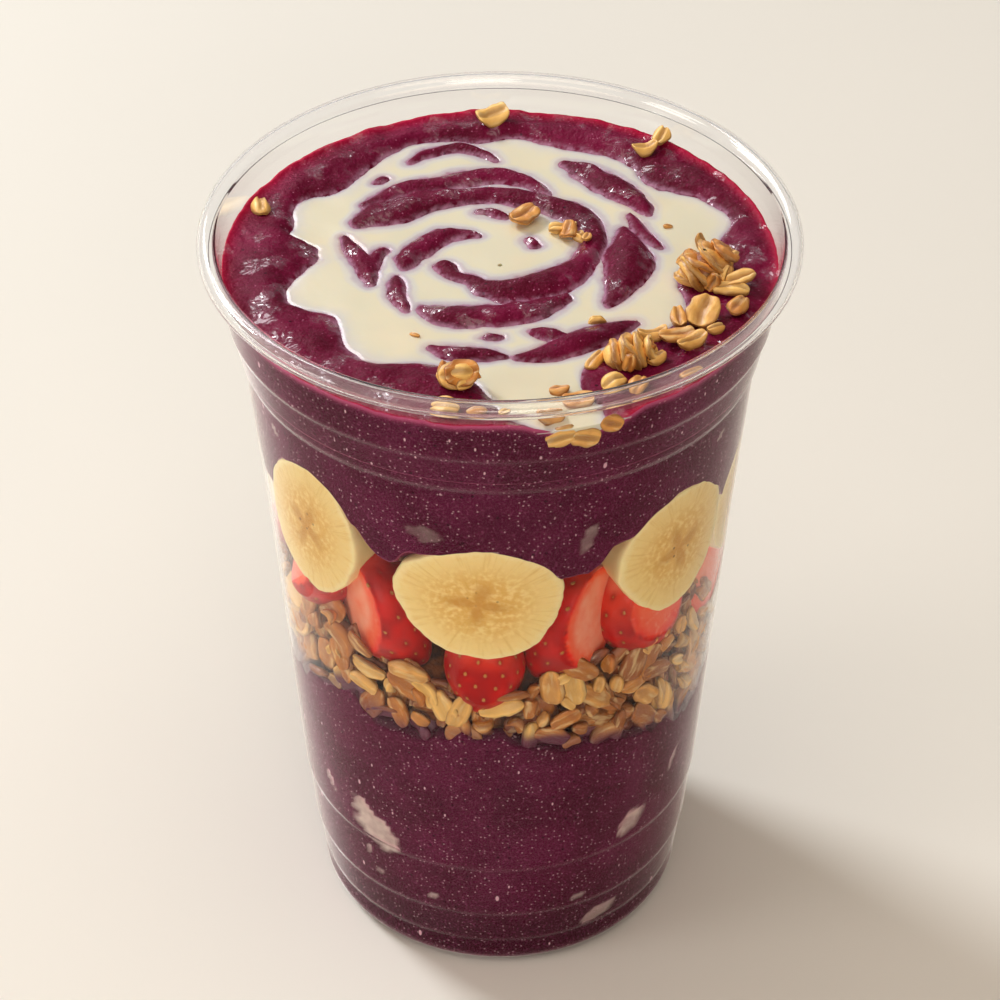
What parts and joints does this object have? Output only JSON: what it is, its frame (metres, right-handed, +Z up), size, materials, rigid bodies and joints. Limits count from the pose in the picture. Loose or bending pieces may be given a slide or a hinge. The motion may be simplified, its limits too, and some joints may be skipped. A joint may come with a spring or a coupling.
{
  "type": "layered acai cup",
  "caption": "Tall clear plastic cup filled with layers of acai puree, granola, strawberry and banana, topped with swirled condensed milk and granola.",
  "frame": {"origin": "middle of the cup's foot, on the surface it stands on", "axes": "+Z up along the cup's axis, -Y towards the front"},
  "size_m": [0.098, 0.098, 0.1375],
  "materials": {
    "cup": "clear thin thermoformed plastic, glossy",
    "acai": "thick wet fruit puree, fine grain, soft gloss",
    "condensed_milk": "glossy opaque cream",
    "granola": "baked oat flakes and clusters with a honey glaze",
    "strawberry": "moist red skin with seeds, paler cut faces",
    "banana": "moist cream flesh with a yellow-brown core star"
  },
  "bodies": {
    "root": {"cup": "cup", "acai_bottom": "acai", "granola_layer": "granola", "strawberry_1": "strawberry", "strawberry_2": "strawberry", "strawberry_3": "strawberry", "strawberry_4": "strawberry", "strawberry_5": "strawberry", "strawberry_6": "strawberry", "strawberry_7": "strawberry", "strawberry_8": "strawberry", "strawberry_9": "strawberry", "strawberry_10": "strawberry", "strawberry_11": "strawberry", "strawberry_12": "strawberry", "banana_slice_1": "banana", "banana_slice_2": "banana", "banana_slice_3": "banana", "banana_slice_4": "banana", "banana_slice_5": "banana", "banana_slice_6": "banana", "banana_slice_7": "banana", "banana_slice_8": "banana", "acai_top": "acai", "condensed_milk": "condensed_milk", "granola_cluster_1": "granola", "granola_cluster_2": "granola", "granola_cluster_3": "granola"}
  },
  "joints": []
}
